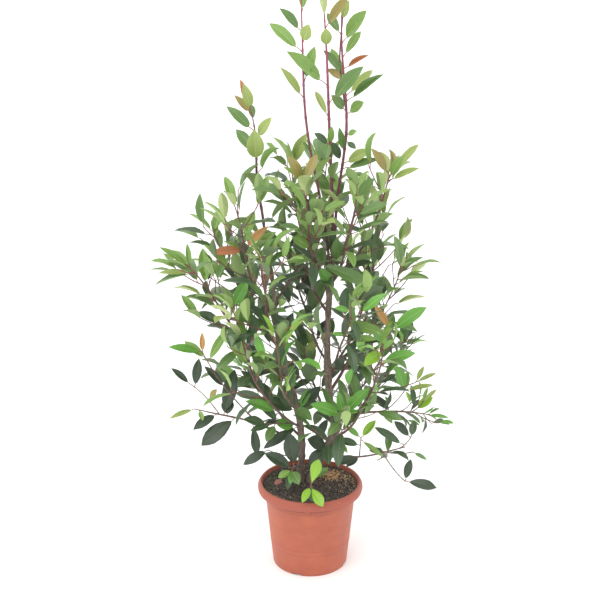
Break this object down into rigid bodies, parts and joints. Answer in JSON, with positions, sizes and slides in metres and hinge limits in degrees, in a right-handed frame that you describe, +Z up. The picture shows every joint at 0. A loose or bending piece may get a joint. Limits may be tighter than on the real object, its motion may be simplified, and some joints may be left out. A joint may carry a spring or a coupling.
{
  "type": "potted photinia shrub",
  "caption": "Tall evergreen shrub with glossy oval leaves and bronze young shoots on slender upright stems, standing in the soil of a round tapered terracotta-coloured pot.",
  "frame": {"origin": "middle of the pot's flat underside", "axes": "+Z up along the plant's height; +Y towards its rear, away from the viewer of its front; +X to the viewer's right"},
  "size_m": [0.8006, 0.6383, 1.5355],
  "materials": {
    "pot_plastic": "moulded terracotta-coloured plastic, satin matte with faint scuffs",
    "potting_soil": "dark crumbly potting soil of peat and bark with pale granules",
    "bark": "grey-brown bark, maroon on the young shoots",
    "leaf_dark": "old leaf, dark green, waxy gloss above and paler below",
    "leaf_mid": "mature leaf, mid green, waxy gloss above and paler below",
    "leaf_fresh": "young leaf, yellowish green, soft gloss",
    "leaf_lime": "newest green leaf, bright lime green, soft gloss",
    "leaf_bronze": "unfolding leaf, olive green turning bronze and red, soft gloss"
  },
  "bodies": {
    "root": {"bough_front_left": "bark", "bough_front_right": "bark", "bough_low_left": "bark", "bough_low_left_upper": "bark", "bough_low_rear_left": "bark", "bough_low_rear_right": "bark", "bough_low_right": "bark", "bough_low_right_front": "bark", "bough_low_right_upper": "bark", "bough_lowest_right": "bark", "bough_mid_left": "bark", "bough_mid_left_front": "bark", "bough_mid_left_rear": "bark", "bough_mid_right": "bark", "bough_rear_left": "bark", "bough_rear_right": "bark", "bough_tall_right": "bark", "bough_upper_left_rear": "bark", "bough_upper_rear": "bark", "bough_upper_right": "bark", "foliage_centre_front": "leaf_mid", "foliage_droop_right": "leaf_dark", "foliage_foot_front": "leaf_lime", "foliage_foot_left": "leaf_mid", "foliage_front_left": "leaf_mid", "foliage_front_left_low": "leaf_mid", "foliage_front_right": "leaf_mid", "foliage_inner_low": "leaf_dark", "foliage_inner_rear": "leaf_dark", "foliage_inner_top": "leaf_mid", "foliage_leader_left": "leaf_bronze", "foliage_leader_middle": "leaf_bronze", "foliage_leader_right": "leaf_bronze", "foliage_low_left": "leaf_dark", "foliage_low_left_front": "leaf_dark", "foliage_low_left_upper": "leaf_dark", "foliage_low_rear_left": "leaf_dark", "foliage_low_rear_right": "leaf_dark", "foliage_low_right": "leaf_mid", "foliage_low_right_front": "leaf_lime", "foliage_low_right_upper": "leaf_fresh", "foliage_lowest_right": "leaf_mid", "foliage_mid_left": "leaf_fresh", "foliage_mid_left_front": "leaf_fresh", "foliage_mid_left_rear": "leaf_fresh", "foliage_mid_right": "leaf_fresh", "foliage_rear_left": "leaf_mid", "foliage_rear_right": "leaf_mid", "foliage_red_shoot": "leaf_lime", "foliage_tall_right": "leaf_fresh", "foliage_upper_front": "leaf_fresh", "foliage_upper_left": "leaf_bronze", "foliage_upper_left_rear": "leaf_fresh", "foliage_upper_rear": "leaf_fresh", "foliage_upper_right": "leaf_bronze", "foliage_upper_right_front": "leaf_fresh", "pot": "pot_plastic", "second_stem": "bark", "soil": "potting_soil", "trunk": "bark"}
  },
  "joints": []
}
